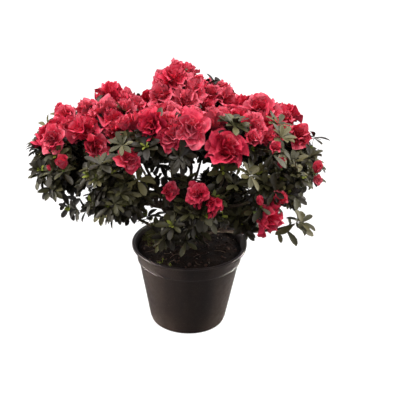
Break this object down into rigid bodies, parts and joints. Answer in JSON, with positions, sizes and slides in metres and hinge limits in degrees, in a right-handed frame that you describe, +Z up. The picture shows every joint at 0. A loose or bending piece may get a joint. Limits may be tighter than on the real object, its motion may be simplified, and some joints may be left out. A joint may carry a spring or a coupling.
{
  "type": "azalea shrub",
  "caption": "Potted evergreen azalea in full bloom: a short stem forks into boughs that carry a domed crown of leafy, flowering masses over a round tapered nursery pot.",
  "frame": {"origin": "centre of the pot's flat underside", "axes": "+Z up along the pot's axis, +X along the crown's widest way, -Y towards the front of the plant"},
  "size_m": [0.3607, 0.2808, 0.3269],
  "materials": {
    "pot": "satin black-brown moulded plastic",
    "soil": "damp peat mix",
    "bark": "thin grey-brown bark",
    "blossom": "soft crimson-rose petals over dark leaves",
    "foliage": "dark olive evergreen leaves with a satin face"
  },
  "bodies": {
    "root": {"pot": "pot", "root_ball": "soil", "main_stem": "bark", "bough_to_crown_top": "bark", "bough_to_shoulder_1": "bark", "bough_to_shoulder_2": "bark", "bough_to_shoulder_3": "bark", "bough_to_shoulder_4": "bark", "bough_to_shoulder_5": "bark", "bough_to_shoulder_6": "bark", "bough_to_skirt_1": "bark", "bough_to_skirt_2": "bark", "bough_to_skirt_3": "bark", "bough_to_skirt_4": "bark", "bough_to_skirt_5": "bark", "bough_to_skirt_6": "bark", "bough_to_skirt_7": "bark", "bough_to_skirt_8": "bark", "bough_to_skirt_9": "bark", "bough_to_apron_1": "bark", "bough_to_apron_2": "bark", "bough_to_apron_3": "bark", "bough_to_apron_4": "bark", "bough_to_apron_5": "bark", "bough_to_low_spray": "bark", "crown_top": "blossom", "shoulder_1": "blossom", "shoulder_2": "blossom", "shoulder_3": "blossom", "shoulder_4": "blossom", "shoulder_5": "blossom", "shoulder_6": "blossom", "skirt_1": "foliage", "skirt_2": "foliage", "skirt_3": "foliage", "skirt_4": "foliage", "skirt_5": "foliage", "skirt_6": "foliage", "skirt_7": "foliage", "skirt_8": "foliage", "skirt_9": "foliage", "apron_1": "foliage", "apron_2": "foliage", "apron_3": "foliage", "apron_4": "foliage", "apron_5": "foliage", "low_spray": "foliage"}
  },
  "joints": []
}
